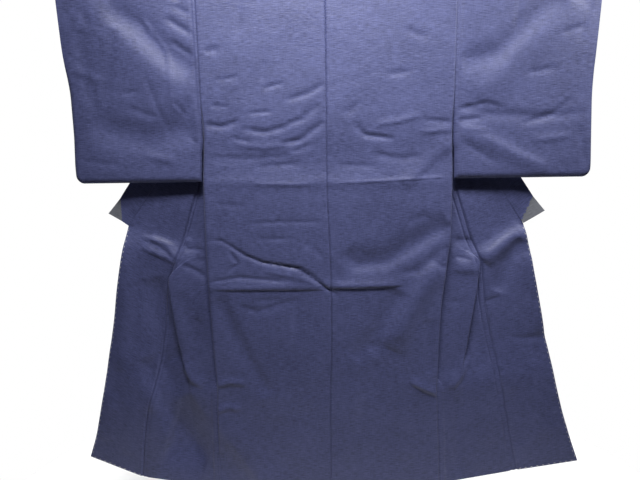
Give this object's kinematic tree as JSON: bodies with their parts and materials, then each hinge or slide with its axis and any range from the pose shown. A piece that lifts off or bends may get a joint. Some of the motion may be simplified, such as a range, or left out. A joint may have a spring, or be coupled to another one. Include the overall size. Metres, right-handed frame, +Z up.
{
  "type": "kimono on a hanging rod",
  "caption": "Plain navy silk kimono for a man, hung over a wooden rod with its back to the viewer, sleeves spread and both fronts opened out sideways behind the back.",
  "frame": {"origin": "middle of the hanging rod, on its axis", "axes": "+Z up; +X along the rod towards the wearer's right sleeve; the back of the kimono faces -Y"},
  "size_m": [1.46, 0.0455, 1.3845],
  "materials": {
    "silk": "soft sheen, fine crosswise slub",
    "rod_wood": "satin"
  },
  "bodies": {
    "root": {"rod": "rod_wood", "body_left": "silk", "body_right": "silk", "sleeve_left": "silk", "sleeve_right": "silk", "overlap_left": "silk", "overlap_right": "silk", "collar": "silk"}
  },
  "joints": []
}
